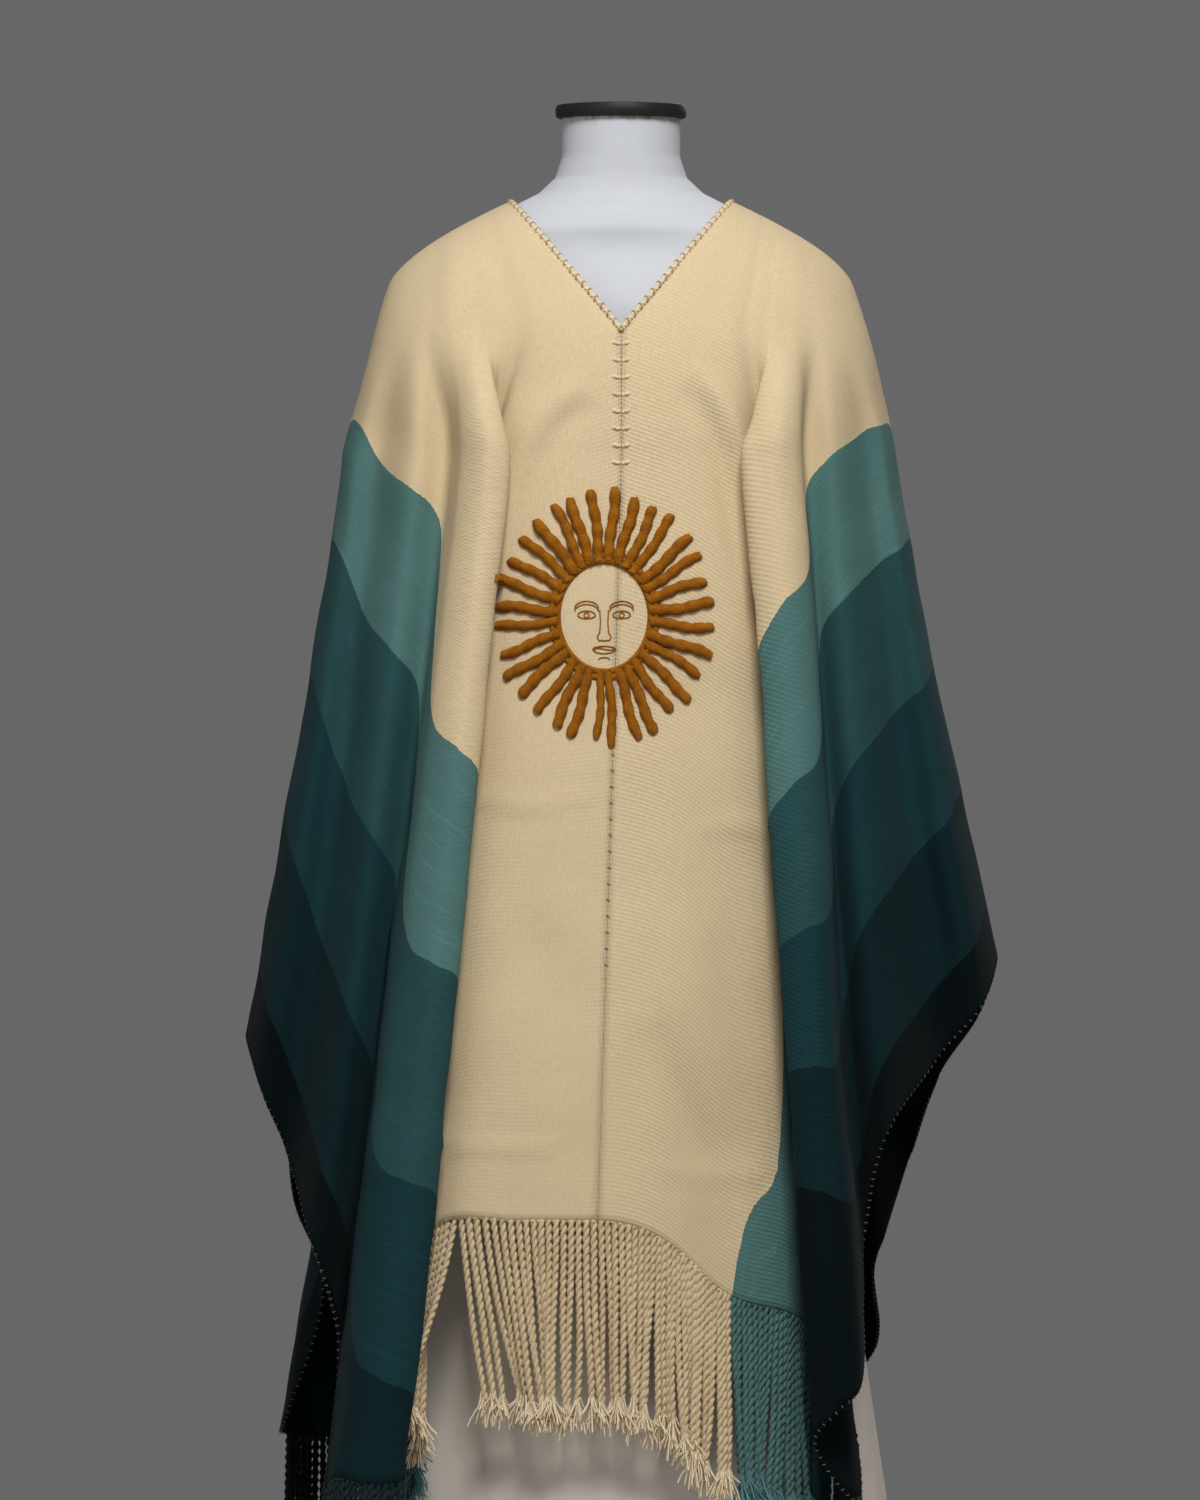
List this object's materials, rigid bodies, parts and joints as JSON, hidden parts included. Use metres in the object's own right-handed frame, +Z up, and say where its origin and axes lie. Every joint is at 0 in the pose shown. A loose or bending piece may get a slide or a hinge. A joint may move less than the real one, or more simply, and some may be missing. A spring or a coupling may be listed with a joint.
{
  "type": "poncho on a dress form",
  "caption": "Handwoven wool poncho with a V neck, couched sun and plied fringe, resting on a limbless calico dress form with a flared base.",
  "frame": {"origin": "middle of the dress form's flat base, on the floor under the neck", "axes": "+Z up, the front of the poncho faces -Y, +X is to the viewer's right seen from the front"},
  "size_m": [0.6432, 0.5291, 1.5],
  "materials": {
    "wool_cloth": "warp-faced handwoven wool",
    "edging_wool": "whip-stitched wool yarn",
    "sun_wool": "thick couched wool yarn",
    "fringe_wool": "plied wool ends",
    "calico": "stretched calico",
    "cap_lacquer": "semi-gloss black"
  },
  "bodies": {
    "root": {"panel_left": "wool_cloth", "panel_right": "wool_cloth", "neck_edging": "edging_wool", "sun_embroidery": "sun_wool", "fringe_front_left": "fringe_wool", "fringe_front_right": "fringe_wool", "fringe_back_left": "fringe_wool", "fringe_back_right": "fringe_wool", "dress_form": "calico", "neck_cap": "cap_lacquer"}
  },
  "joints": []
}
